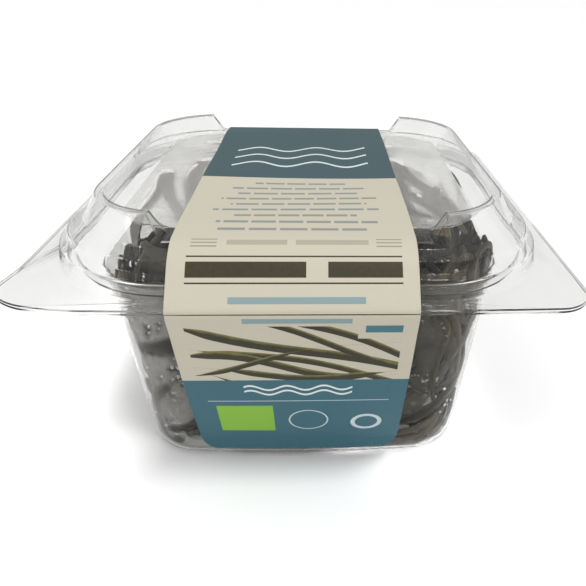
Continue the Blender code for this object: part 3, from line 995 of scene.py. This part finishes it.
# Points round the wall, rows up it, and how many of both a strand goes on in one step
WALL_POINTS = 400
WALL_ROWS = 52
ROW_STRIDE = 2.4
COLUMN_STRIDE = 2.8

LOOSE_SEED = 41
LID_SEED = 3
SALT_SEED = 8

# Where strands crowd at the wall: column of its rings and spread, first rows, lowest row, how many
CROWDS = (
    (22, 15, (50, 63), 46, 21),
    (16, 12, (6, 46), 3, 27),
    (320, 10, (6, 46), 3, 18),
    (66, 16, (8, 50), 3, 12),
)

# Strands that touch the lid's panel: their turns in mm, width in mm, and whether they fork
LID_STRANDS = (
    (((-40, 16, 66), (-43, 2, 73), (-40.5, -12, 73), (-38, -27, 73), (-35, -44, 72.8), (-34, -47, 68)),
     5.0, True),
    (((-29, 26, 67), (-31, 15, 73), (-34, 2, 73), (-32, -14, 73), (-28, -31, 73), (-27, -46, 72.4)),
     4.8, False),
    (((24, 28, 67), (28, 16, 73), (31, -6, 73), (34, -27, 73), (36, -44, 72.6)), 6.5, True),
    (((21, 8, 70), (25, -4, 73), (27, -16, 73), (32, -34, 73), (31, -46, 72.6)), 6.0, True),
    (((36, 0, 68), (38, -12, 73), (36, -30, 73), (39, -40, 72.6)), 5.5, False),
    (((20, -16, 72.6), (25, -30, 73), (33, -37, 73), (38, -36, 72.4)), 6.0, False),
    (((18, -30, 72.6), (28, -41, 73), (38, -44, 72.4)), 6.5, False),
    (((37, -20, 72), (35, -22, 73), (30, -20, 73), (22, -24, 72.8)), 5.0, False),
    (((-40, 40, 70), (-36, 33, 73), (-26, 31, 73), (-12, 36, 73), (2, 33, 72.6)), 5.2, True),
    (((-41, 22, 72), (-33, 21, 73), (-20, 25, 73), (-8, 17, 73), (6, 20, 72.6)), 4.6, False),
    (((-6, 43, 71), (4, 38, 73), (18, 40, 73), (26, 35, 73), (31, 36, 72.6)), 5.6, True),
    (((31, 27, 71), (28, 25, 73), (22, 29, 73), (10, 23, 73), (-2, 27, 72.6)), 5.0, True),
    (((-16, -10, 72), (-8, -16, 73), (2, -14, 73), (10, -22, 73), (17, -36, 72.6)), 5.0, True),
    (((-18, -40, 72), (-8, -33, 73), (4, -36, 73), (14, -44, 72.6)), 5.4, False),
    (((6, 12, 71), (0, 4, 73), (-8, 2, 73), (-18, -4, 73), (-22, -16, 72.6)), 4.8, False),
    (((32, 14, 72), (30, 9, 73), (28, 5, 73), (16, 8, 73), (8, 2, 72.6)), 4.8, True),
)


class SEATUB_OT_fronds(bpy.types.Operator):
    """Make the long forked straps that the tub is packed with, one piece each"""
    bl_idname = "seatub.fronds"
    bl_label = "Fronds"

    def execute(self, context):
        shade = context.scene.seatub_weed.shade
        shades = [seaweed_finish(f"frond_{k}", shade * s) for k, s in enumerate(FROND_SHADES)]
        draw = random.Random(FROND_SEED)
        places = [(skin, k, count) for skin, count in enumerate(SKIN_FRONDS) for k in range(count)]
        for number, (skin, k, count) in enumerate(places, start=1):
            along = (k - (count - 1) / 2) * FROND_PITCH
            start = draw.uniform(0, 2 * math.pi)
            end = start + 2 * math.pi * draw.uniform(*FROND_SHARE)
            width = FROND_WIDTH * draw.uniform(0.88, 1.12) * BROAD
            angles = station_angles(skin, along, start, end)
            fork = max(TAPER_STATIONS, round(draw.uniform(*FORK_SHARE) * len(angles)))
            stem = finer(angles[:fork + 1])
            route = [on_skin(skin, along, a, FROND_RIPPLE * math.sin(9 * a)) for a, _ in stem]
            widths = [width * taper(place, STEM_END_WIDTH) for _, place in stem]
            left = limb_sections(skin, along, angles[fork:], 1, width)
            right = limb_sections(skin, along, angles[fork:-LIMB_SHORTER], -1, width)
            bm = bmesh.new()
            forked_strap(bm, sections(route, widths, FROND_THICKNESS * PLUMP), left, right)
            name = f"frond_{number:02d}"
            add_straps(name + "_strap", bm, shades[number % len(shades)], [name])
        return {"FINISHED"}


def crawl(draw, start, target, steps):
    """Route of a loose strand that wanders over a skin of the tangle from a start direction."""
    p = skin_point(HEART, start, target)
    heading = skin_normal(p).orthogonal()
    heading.rotate(Matrix.Rotation(draw.uniform(0, 2 * math.pi), 3, skin_normal(p)))
    turning = draw.uniform(-1, 1) * RESTLESS
    route = [p]
    for k in range(steps):
        turning = TURN_KEPT * turning + draw.gauss(0, RESTLESS)
        heading.rotate(Matrix.Rotation(turning, 3, skin_normal(p)))
        direction = (p + heading * LOOSE_STRIDE - HEART).normalized()
        there = skin_point(HEART, direction, target + 0.02 * math.sin(k * 0.35 + target * 40))
        heading = (there - p).normalized()
        p = there
        route.append(p)
    return softened(route)


def softened(route):
    """The route with its kinks smoothed out."""
    for _ in range(3):
        inner = [(a + 2 * b + c) / 4 for a, b, c in zip(route, route[1:], route[2:])]
        route = [route[0]] + inner + [route[-1]]
    return route


def even_ring(points):
    """WALL_POINTS points evenly spaced round a closed outline."""
    spans = [math.dist(a, b) for a, b in zip(points, points[1:] + points[:1])]
    total = sum(spans)
    ring, i, passed = [], 0, 0.0
    for k in range(WALL_POINTS):
        goal = total * k / WALL_POINTS
        while passed + spans[i] < goal:
            passed += spans[i]
            i += 1
        t = (goal - passed) / spans[i]
        (ax, ay), (bx, by) = points[i], points[(i + 1) % len(points)]
        ring.append((ax + (bx - ax) * t, ay + (by - ay) * t))
    return ring


def wall_rings(off, above=0):
    """Rings up the tub's inside, off from its outer face, with so many more rings above the mouth."""
    rings = []
    radius = FOOT_CURVE - off
    for degrees in range(10, 91, 16):
        angle = math.radians(degrees)
        plan = wall_outline(0.0, FOOT_CURVE - radius * math.sin(angle))
        rings.append(level(even_ring(plan), FOOT_CURVE - radius * math.cos(angle)))
    for k in range(1, WALL_ROWS):
        t = k / WALL_ROWS
        rings.append(level(even_ring(wall_outline(t, off)), FOOT_CURVE + (MOUTH_Z - FOOT_CURVE) * t))
    for k in range(above):
        draw_in = off + 0.004 * (k / above) ** 2
        rings.append(level(even_ring(wall_outline(1.0, draw_in)), MOUTH_Z + 0.001 * k))
    return rings


def past_corner(p, half_width, half_depth, corner):
    """How far a point lies beyond the middle of the wall's round corners, aside and ahead."""
    return abs(p.x) - half_width + corner, abs(p.y) - half_depth + corner


def wall_normal(p):
    """Square to the tub's wall, outwards."""
    aside, ahead = past_corner(p, *wall_size(wall_share(p.z)))
    if aside > 0 and ahead > 0:
        plan = Vector((aside, ahead, 0)).normalized()
    else:
        plan = Vector((1, 0, 0)) if aside > ahead else Vector((0, 1, 0))
    drop = max(0.12, 1 - p.z / FOOT_CURVE)
    return Vector((math.copysign(plan.x, p.x), math.copysign(plan.y, p.y), -drop)).normalized()


def within_wall(p, clear):
    """The point, moved in where it is less than clear from the tub's outer face."""
    half_width, half_depth, corner = wall_size(min(1.0, wall_share(p.z)), clear)
    aside, ahead = past_corner(p, half_width, half_depth, corner)
    if aside > 0 and ahead > 0:
        share = min(1.0, corner / math.hypot(aside, ahead))
        aside, ahead = aside * share, ahead * share
    x = min(aside, corner) + half_width - corner
    y = min(ahead, corner) + half_depth - corner
    return Vector((math.copysign(x, p.x), math.copysign(y, p.y), p.z))


def upwards(_):
    """The way a strand that lies under the panel faces."""
    return Vector((0, 0, 1))


def wall_crawl(draw, rings, row, column, steps, lowest):
    """Route of a strand that wanders over the rings of the wall from a row and a column."""
    heading = draw.uniform(0, 2 * math.pi)
    turning = 0.0
    highest = len(rings) - 2.01
    route = []
    for _ in range(steps):
        turning = TURN_KEPT * turning + draw.gauss(0, RESTLESS)
        heading += turning
        row += math.sin(heading) * ROW_STRIDE
        if not lowest <= row <= highest:
            row = min(max(row, lowest), highest)
            heading = -heading
        column += math.cos(heading) * COLUMN_STRIDE
        first, second = [
            ring[int(column) % WALL_POINTS].lerp(ring[(int(column) + 1) % WALL_POINTS], column % 1)
            for ring in rings[int(row):int(row) + 2]
        ]
        route.append(first.lerp(second, row % 1))
    return softened(route)


def loose_strap(bm, draw, route, width, thickness, roll, forks, normal=skin_normal, clear=STRAND_CLEAR):
    """Adds a loose strap that narrows to its tip, forked or plain."""
    last = len(route) - 1
    lean = draw.uniform(-roll, roll)
    rolls, widths = [], []
    for i in range(last + 1):
        rolls.append(lean + 0.5 * roll * math.sin(0.23 * i + lean * 9))
        widths.append(width * (0.45 + 0.55 * smooth(i / 6)) * (0.35 + 0.65 * smooth((last - i) / 9)))
    rings = sections(route, widths, thickness, rolls, normal)
    if not forks or last < 14:
        bm.faces.new(start_strap(bm, rings))
        return
    fork = last // 2
    limbs = []
    for side in (1, -1):
        line, limb_widths = [], []
        for i in range(fork, last + 1):
            across = (rings[i][1] - rings[i][0]).normalized()
            spread = width * 0.24 + 0.0042 * smooth((i - fork) / 10)
            line.append(within_wall(route[i] + across * side * spread, clear))
            limb_widths.append(width * 0.62 * (0.4 + 0.6 * smooth((last - i) / 7)))
        limbs.append(sections(line, limb_widths, thickness, rolls[fork:], normal)[1:])
    forked_strap(bm, rings[:fork + 1], *limbs)


class SEATUB_OT_loose_strands(bpy.types.Operator):
    """Make the thinner strands that lie between and across the fronds"""
    bl_idname = "seatub.loose_strands"
    bl_label = "Loose strands"

    def execute(self, context):
        look = context.scene.seatub_weed
        draw = random.Random(LOOSE_SEED)
        kinds = (("loose_dark", 0.8, 0.0), ("loose_olive", 1.8, 0.02), ("loose_salted", 2.2, 0.07))
        finishes = [seaweed_finish(*kind) for kind in kinds]
        clears = [STRAND_CLEAR + LAYER_STEP * k for k in range(LAYERS)]
        layers = [wall_rings(clear, above=8) for clear in clears]

        def add_to_wall(bm, layer, width, route, forks):
            thickness = WALL_STRAND_THICKNESS * PLUMP
            loose_strap(bm, draw, route, width * BROAD, thickness, 0.03, forks, wall_normal, clears[layer])

        for group in range(WALL_GROUPS):
            bm = bmesh.new()
            for i in range(look.wall_count // WALL_GROUPS):
                layer = (WALL_GROUPS * i + group) % LAYERS
                row, column = draw.uniform(2, 56), draw.uniform(0, WALL_POINTS)
                forks = draw.random() < 0.5
                lowest = 9 if forks else 2 + layer / 4
                route = wall_crawl(draw, layers[layer][:57], row, column, draw.randint(12, 38), lowest)
                add_to_wall(bm, layer, draw.uniform(0.0030, 0.0058), route, forks)
            for middle, spread, rows, lowest, count in CROWDS:
                for i in range(count // WALL_GROUPS):
                    layer = (WALL_GROUPS * i + group) % LAYERS
                    rings = layers[layer][:60 + i % 5]
                    row, column = draw.uniform(*rows), draw.gauss(middle, spread) % WALL_POINTS
                    route = wall_crawl(draw, rings, row, column, draw.randint(9, 20), lowest)
                    width = draw.uniform(0.0045, 0.0066)
                    forks = draw.random() < 0.4 and lowest > 9
                    add_to_wall(bm, layer, width, route, forks)
            add_straps(f"wall_strands_{group + 1}", bm, finishes[group])
        for group in range(LOOSE_GROUPS):
            bm = bmesh.new()
            for _ in range(look.loose_count // LOOSE_GROUPS):
                turn = draw.uniform(0, 2 * math.pi)
                start = Vector((math.cos(turn), math.sin(turn), draw.uniform(-0.9, 0.75))).normalized()
                target = draw.choice((1.0, 0.965, 0.93, 0.88, 0.8))
                route = crawl(draw, start, target, draw.randint(16, 44))
                width = draw.uniform(0.0026, 0.0052) * BROAD
                thickness = draw.uniform(0.0009, 0.0015) * PLUMP
                loose_strap(bm, draw, route, width, thickness, 0.5, draw.random() < 0.45)
            for v in bm.verts:
                free = min(max(v.co.z, FLOOR_CLEAR), PANEL_CLEAR)
                v.co.z = free + (v.co.z - free) * SQUEEZE
            add_straps(f"loose_strands_{group + 1}", bm, finishes[group % 2])
        return {"FINISHED"}


class SEATUB_OT_lid_strands(bpy.types.Operator):
    """Make the strands that rise into the lid and press against its panel"""
    bl_idname = "seatub.lid_strands"
    bl_label = "Strands under the lid"

    def execute(self, context):
        finish = seaweed_finish("lid_strand", 1.0)
        draw = random.Random(LID_SEED)
        bm = bmesh.new()
        for turns, width, forks in LID_STRANDS:
            line = [Vector(turn) / 1000 for turn in turns]
            route = [p for p, _ in evenly(eased(line, 0.006, 5), 0.0022)]
            loose_strap(bm, draw, route, width / 1000 * BROAD, 0.0009 * PLUMP, 0.03, forks, upwards)
        add_straps("lid_strands", bm, finish)
        return {"FINISHED"}


# Moisture film inside the sheet

# Gap to a strand from which the film shows and over which it grows, and width of its change of sides
TOUCH_GAP = 0.0005
TOUCH_FADE = 0.0011
SIDE_FADE = 0.05
FILM_THICKNESS = 0.00004


def filling_tree():
    """All strands and grains as one tree for finding the nearest."""
    points, faces = [], []
    for obj in bpy.data.objects:
        if obj.get("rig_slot") in ("seaweed", "salt"):
            first = len(points)
            points += [v.co.copy() for v in obj.data.vertices]
            faces += [[first + i for i in polygon.vertices] for polygon in obj.data.polygons]
    return BVHTree.FromPolygons(points, faces)


def add_film(name, rings, body, left, right, middle_x, tree, touched, **ends):
    """Adds a film, left and right strong at its sides, of which touched is left where strands touch it."""
    mesh = loft(name, rings, **ends)
    film = mesh.attributes.new("Film", "FLOAT", "POINT")
    values = []
    for v in mesh.vertices:
        gap = tree.find_nearest(v.co)[3]
        blotch = 0.9 + 0.3 * noise.noise(v.co * 70) + 0.15 * noise.noise(v.co * 260)
        strength = right + (left - right) * smooth((middle_x - v.co.x) / SIDE_FADE)
        free = touched + (1 - touched) * smooth((gap - TOUCH_GAP) / TOUCH_FADE)
        values.append(strength * max(0.0, blotch) * free)
    film.data.foreach_set("value", values)
    skin = ("SOLIDIFY", {"thickness": FILM_THICKNESS, "offset": 0})
    look = bpy.context.scene.seatub_sheet
    finish = bpy.data.materials.get("moist_film") or film_finish(look.fog_colour)
    add_piece(name, mesh, finish, body, "clear_sheet", (), [skin])


class SEATUB_OT_film(bpy.types.Operator):
    """Make the film of moisture and salt inside the wall and under the lid's panel"""
    bl_idname = "seatub.film"
    bl_label = "Moisture film"

    def execute(self, context):
        look = context.scene.seatub_sheet
        tree = filling_tree()
        rings = wall_rings(SHEET + 0.00012)
        add_film("wall_film", rings, "tub", look.wall_fog_left, look.wall_fog_right, 0.02, tree, 0.04)

        foot = even_ring(rim_outline(-RIM_FOOT - 0.0004))
        rings = []
        for k in range(60):
            scale = 1 - k / 60
            rings.append(level([(x * scale, y * scale) for x, y in foot], PANEL - SHEET - 0.0003))
        sides = (look.panel_fog_left, look.panel_fog_right)
        add_film("panel_film", rings, "lid", *sides, 0.03, tree, 0.22, close_last=True)
        return {"FINISHED"}


# Salt

# Where fine salt gathers: row and column of the wall's rings
SALT_CLUSTERS = (
    (16, 12), (22, 22), (44, 20), (48, 318), (30, 322), (14, 330),
    (10, 308), (24, 60), (30, 120), (18, 170), (36, 215), (20, 262),
)


def grain(bm, draw, place, size):
    """Adds an angular grain: the hull of a few points round its place."""
    points = []
    for _ in range(14):
        away = Vector([draw.gauss(0, 1) for _ in range(3)]).normalized()
        points.append(bm.verts.new(place + away * size * draw.uniform(0.42, 0.6)))
    hull = bmesh.ops.convex_hull(bm, input=points)
    inner = {v for v in hull["geom_interior"] + hull["geom_unused"] if isinstance(v, bmesh.types.BMVert)}
    bmesh.ops.delete(bm, geom=list(inner), context="VERTS")


class SEATUB_OT_salt(bpy.types.Operator):
    """Make the coarse salt grains against the wall, and the fine ones among the strands"""
    bl_idname = "seatub.salt"
    bl_label = "Salt"

    def execute(self, context):
        finish = salt_finish()
        draw = random.Random(SALT_SEED)

        def add_grains(name, bm, replaced=()):
            add_piece(name, finish_mesh(bm, name), finish, "tub", "salt", replaced, sharp=12)

        for name in sorted(n for n in frame["nodes"] if n.startswith("salt_")):
            low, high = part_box(name)
            bm = bmesh.new()
            grain(bm, draw, (low + high) / 2, (high - low).length / 1.9)
            add_grains(name + "_grain", bm, [name])
        bm = bmesh.new()
        rings = wall_rings(0.0016)
        for row, column in SALT_CLUSTERS:
            for _ in range(context.scene.seatub_weed.fine_salt_count // len(SALT_CLUSTERS)):
                ring = rings[min(max(round(draw.gauss(row, 4)), 1), len(rings) - 1)]
                spot = ring[round(draw.gauss(column, 5)) % WALL_POINTS]
                grain(bm, draw, spot, draw.uniform(0.0005, 0.0016))
        add_grains("fine_salt", bm)
        return {"FINISHED"}


# Stage

CAMERA_PLACE = (0.0049, -0.17782, 0.13275)
CAMERA_PITCH = math.radians(28.56)
CAMERA_YAW = math.radians(3.14)
CAMERA_ROLL = math.radians(-1.48)
PHOTO_SIZE = 586
FOCAL_PIXELS = 584.25
MIDDLE_PIXEL = (348.07, 279.34)
SOFTBOX_AIM = (0, 0, 0.04)
SUN_WIDTH = math.radians(12)
SUN_LEAN = (math.radians(12), math.radians(15), 0.0)


def add_camera():
    camera = bpy.data.cameras.new("photo_view")
    camera.sensor_width = 36
    camera.lens = 36 * FOCAL_PIXELS / PHOTO_SIZE
    camera.shift_x = (PHOTO_SIZE / 2 - MIDDLE_PIXEL[0]) / PHOTO_SIZE
    camera.shift_y = (MIDDLE_PIXEL[1] - PHOTO_SIZE / 2) / PHOTO_SIZE
    camera.clip_start = 0.01
    ahead = Vector((
        math.sin(CAMERA_YAW) * math.cos(CAMERA_PITCH),
        math.cos(CAMERA_YAW) * math.cos(CAMERA_PITCH),
        -math.sin(CAMERA_PITCH),
    ))
    right = Vector((math.cos(CAMERA_YAW), -math.sin(CAMERA_YAW), 0))
    down = ahead.cross(right)
    rolled_right = right * math.cos(CAMERA_ROLL) + down * math.sin(CAMERA_ROLL)
    rolled_down = down * math.cos(CAMERA_ROLL) - right * math.sin(CAMERA_ROLL)
    turn = Matrix((rolled_right, -rolled_down, -ahead)).transposed().to_4x4()
    obj = add_object("photo_view", camera)
    obj.matrix_world = Matrix.Translation(CAMERA_PLACE) @ turn
    bpy.context.scene.camera = obj


def add_softbox(name, spot, side, power):
    """Adds a square light that is aimed at the tub."""
    light = bpy.data.lights.new(name, "AREA")
    light.shape = "RECTANGLE"
    light.size = light.size_y = side
    light.energy = power
    obj = add_object(name, light)
    obj.location = spot
    obj.rotation_euler = (Vector(SOFTBOX_AIM) - Vector(spot)).to_track_quat("-Z", "Y").to_euler()


def studio(overhead, horizon):
    """World that is brightest overhead and dimmer towards the horizon."""
    sky = Finish("studio", "worlds")
    direction = sky.node("ShaderNodeTexCoord", output="Generated")
    height = sky.node("ShaderNodeSeparateXYZ", inputs={"Vector": direction}, output="Z")
    sockets = {"Value": height, "From Min": 0.75, "From Max": 0.97, "To Min": horizon, "To Max": overhead}
    strength = sky.node("ShaderNodeMapRange", inputs=sockets)
    white = {"Color": (1.0, 1.0, 1.0, 1.0), "Strength": strength}
    return sky.done(sky.node("ShaderNodeBackground", inputs=white), "World")


def add_sun(power):
    """Even light from high up, a little from the front and the right."""
    light = bpy.data.lights.new("above", "SUN")
    light.energy = power
    light.angle = SUN_WIDTH
    add_object("above", light).rotation_euler = SUN_LEAN


class SEATUB_OT_stage(bpy.types.Operator):
    """Make the pale floor, the studio light and the camera"""
    bl_idname = "seatub.stage"
    bl_label = "Stage"

    def execute(self, context):
        scene = context.scene
        look = scene.seatub_stage
        bm = bmesh.new()
        bmesh.ops.create_grid(bm, x_segments=8, y_segments=8, size=look.floor_size / 2)
        floor = add_object("floor", finish_mesh(bm, "floor"))
        finish = Finish("floor_white")
        floor.data.materials.append(finish.done(finish.surface(Base_Color=look.floor_colour, Roughness=0.9)))
        scene.world = studio(look.surround, look.horizon)
        scene.view_settings.view_transform = "Standard"
        scene.cycles.transparent_max_bounces = 24
        scene.cycles.transmission_bounces = 20
        scene.cycles.max_bounces = 24
        add_softbox("key_left", (-0.55, -0.35, 0.55), 0.25, look.key_power)
        add_softbox("fill_right", (0.6, -0.5, 0.5), 0.5, look.fill_power)
        add_sun(look.above_power)
        add_camera()
        return {"FINISHED"}


# Settings and panel

def colour_prop(name, description, default):
    return bpy.props.FloatVectorProperty(
        name=name, description=description, default=default, subtype="COLOR", size=3, min=0, max=1
    )


def number_prop(name, description, default, **kind):
    return bpy.props.FloatProperty(name=name, description=description, default=default, **kind)


def length_prop(name, description, default):
    return number_prop(name, description, default, unit="LENGTH", subtype="DISTANCE")


def print_prop(name, subject, default):
    """A place on the print."""
    return number_prop(name, subject + ", in mm from the back", default)


def count_prop(name, description, default):
    return bpy.props.IntProperty(name=name, description=description, default=default, min=0)


def share_prop(name, description, default):
    return number_prop(name, description, default, subtype="FACTOR", min=0, max=1)


class SheetLook(bpy.types.PropertyGroup):
    tint: colour_prop("Tint", "Colour of the clear sheet", (0.93, 0.93, 0.925))
    fog_colour: colour_prop("Fog colour", "Colour of the film of moisture and salt", (0.56, 0.555, 0.535))
    haze: share_prop("Haze", "Share of each face of the sheet that is milky", 0.005)
    wall_fog_left: share_prop("Wall fog, left", "Strength of the film on the tub's left", 0.3)
    wall_fog_right: share_prop("Wall fog, right", "Strength of the film on the tub's right", 0.045)
    panel_fog_left: share_prop("Panel fog, left", "Strength of the film under the lid's left part", 0.74)
    panel_fog_right: share_prop("Panel fog, right", "Strength of the film under the lid's right part", 0.56)
    corner_lift: length_prop("Corner lift", "How far the front left corner is bent up", 0.0022)


class BandLook(bpy.types.PropertyGroup):
    cream: colour_prop("Cream", "Colour of the band's paper", (0.53, 0.495, 0.395))
    back: colour_prop("Back", "Colour of the paper's unprinted side", (0.62, 0.60, 0.55))
    teal_top: colour_prop("Top block", "Colour of the block on the lid", (0.047, 0.088, 0.103))
    teal_low_colour: colour_prop("Low block", "Colour of the block on the front", (0.032, 0.122, 0.160))
    teal_end: print_prop("Top block end", "End of the top block", 77)
    text_top: print_prop("Lines start", "First small line", 81.2)
    text_step: number_prop("Line step", "Distance of the small lines, in mm", 4.1)
    rules_top: print_prop("Rules start", "First rule", 119.6)
    title_top: print_prop("Bars start", "Row of bars", 124.6)
    picture_top: print_prop("Picture start", "Picture strip", 141.6)
    teal_low: print_prop("Low block start", "Low block", 162.8)


class WeedLook(bpy.types.PropertyGroup):
    dark: colour_prop("Dark", "Main colour of the strands", (0.014, 0.0112, 0.0065))
    light: colour_prop("Light", "Colour of the paler patches", (0.062, 0.050, 0.022))
    shade: share_prop("Shade", "Brightness of the fronds", 1.0)
    salt_crust: share_prop("Salt crust", "Share of the strands that dried salt covers", 0.05)
    wall_count: count_prop("Wall strands", "How many are pressed to the wall", 132)
    loose_count: count_prop("Loose strands", "How many lie between the fronds", 96)
    fine_salt_count: count_prop("Fine salt", "How many fine grains there are", 140)


class StageLook(bpy.types.PropertyGroup):
    floor_size: length_prop("Floor", "Side of the floor", 9.0)
    floor_colour: colour_prop("Floor colour", "Colour of the floor", (0.96, 0.96, 0.96))
    surround: number_prop("Surround", "Strength of the light from above", 1.2)
    horizon: number_prop("Horizon", "Strength of the light from the sides", 0.45)
    above_power: number_prop("Above", "Power of the light from straight above", 1.4)
    key_power: number_prop("Key", "Power of the left softbox", 1.1, subtype="POWER")
    fill_power: number_prop("Fill", "Power of the right softbox", 0.7, subtype="POWER")


STEPS = ("tub", "lid", "hinge", "band", "fronds", "loose_strands", "lid_strands", "salt", "film", "stage")


class SEATUB_PT_panel(bpy.types.Panel):
    """Lists the pieces of the tub and their settings"""
    bl_label = "Sea spaghetti tub"
    bl_idname = "SEATUB_PT_panel"
    bl_space_type = "VIEW_3D"
    bl_region_type = "UI"
    bl_category = "Tub"

    def draw(self, context):
        for step in STEPS:
            self.layout.operator("seatub." + step)
        for group in GROUPS:
            box = self.layout.box()
            settings = getattr(context.scene, group)
            for name in settings.__annotations__:
                box.prop(settings, name)


GROUPS = {
    "seatub_sheet": SheetLook,
    "seatub_band": BandLook,
    "seatub_weed": WeedLook,
    "seatub_stage": StageLook,
}
CLASSES = (
    *GROUPS.values(),
    SEATUB_OT_tub, SEATUB_OT_lid, SEATUB_OT_hinge, SEATUB_OT_band, SEATUB_OT_fronds,
    SEATUB_OT_loose_strands, SEATUB_OT_lid_strands, SEATUB_OT_film, SEATUB_OT_salt, SEATUB_OT_stage,
    SEATUB_PT_panel,
)


def register():
    for cls in CLASSES:
        bpy.utils.register_class(cls)
    for name, group in GROUPS.items():
        setattr(bpy.types.Scene, name, bpy.props.PointerProperty(type=group))


def unregister():
    for name in GROUPS:
        delattr(bpy.types.Scene, name)
    for cls in reversed(CLASSES):
        bpy.utils.unregister_class(cls)


def main():
    register()
    for step in STEPS:
        getattr(bpy.ops.seatub, step)()


if __name__ == "__main__":
    main()
